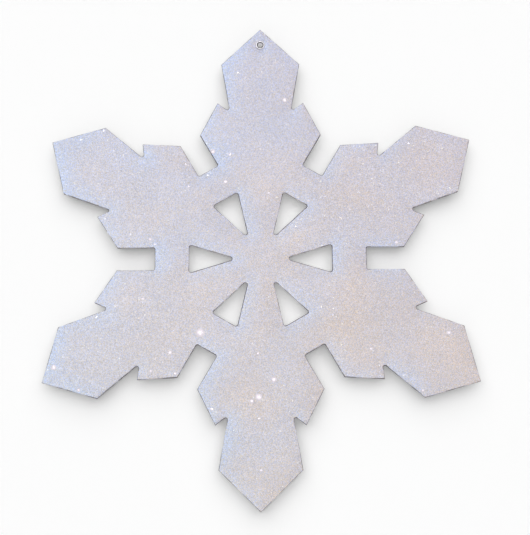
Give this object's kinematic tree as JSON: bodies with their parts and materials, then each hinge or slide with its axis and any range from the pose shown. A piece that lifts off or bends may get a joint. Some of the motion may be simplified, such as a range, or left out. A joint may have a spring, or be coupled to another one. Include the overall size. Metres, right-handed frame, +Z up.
{
  "type": "hanging snowflake star",
  "caption": "Flat snowflake star in stiff board faced with pearly glitter paper, with arrow-headed arms, cut-out windows and an eyelet for hanging.",
  "frame": {"origin": "middle of the eyelet's hole, halfway through the thickness of the board", "axes": "+Z up along the top arm, as the star hangs; front face towards -Y; +X to the right as seen from the front"},
  "size_m": [0.308, 0.0043, 0.3556],
  "materials": {
    "grey_board": "matte",
    "glitter_paper": "satin",
    "nickel": "gloss"
  },
  "bodies": {
    "root": {"core_board": "grey_board", "front_glitter_paper": "glitter_paper", "back_glitter_paper": "glitter_paper", "hanging_eyelet": "nickel", "eyelet_washer": "nickel"}
  },
  "joints": []
}
